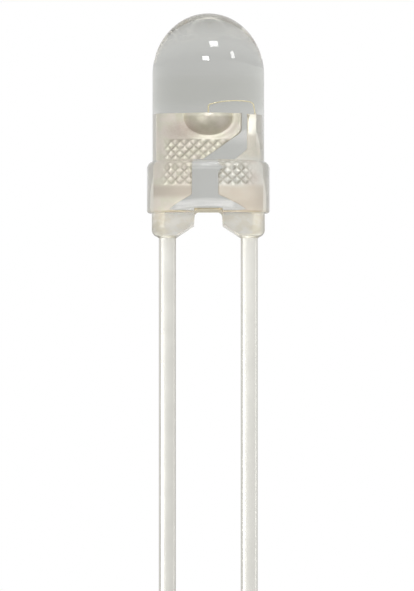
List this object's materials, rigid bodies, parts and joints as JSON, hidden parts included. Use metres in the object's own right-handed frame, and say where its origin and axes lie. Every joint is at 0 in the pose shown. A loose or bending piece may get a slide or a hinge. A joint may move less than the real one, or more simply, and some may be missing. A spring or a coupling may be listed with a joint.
{
  "type": "through hole LED",
  "caption": "Clear round-top light-emitting diode with a flanged cast body on two feet, a stamped lead frame with a reflector cup, and two long straight leads.",
  "frame": {"origin": "on the axis of the lens, in the plane of the feet's undersides, which is the top face of the circuit board that the part is soldered into", "axes": "+Z along the axis of the lens, towards the dome; +X from the cathode lead to the anode lead"},
  "size_m": [0.0038, 0.0038, 0.0331],
  "materials": {
    "clear_epoxy": "clear, faintly grey, moulded glossy",
    "tinned_lead": "bright tin and silver plate over stamped steel",
    "crystal_die": "sawn crystal with a gold pad",
    "silver_adhesive": "dull silver-filled resin",
    "gold_wire": "bright drawn gold"
  },
  "bodies": {
    "root": {"lens_body": "clear_epoxy", "cathode_lead": "tinned_lead", "anode_lead": "tinned_lead", "led_die": "crystal_die", "die_attach": "silver_adhesive", "bond_wire": "gold_wire"}
  },
  "joints": []
}
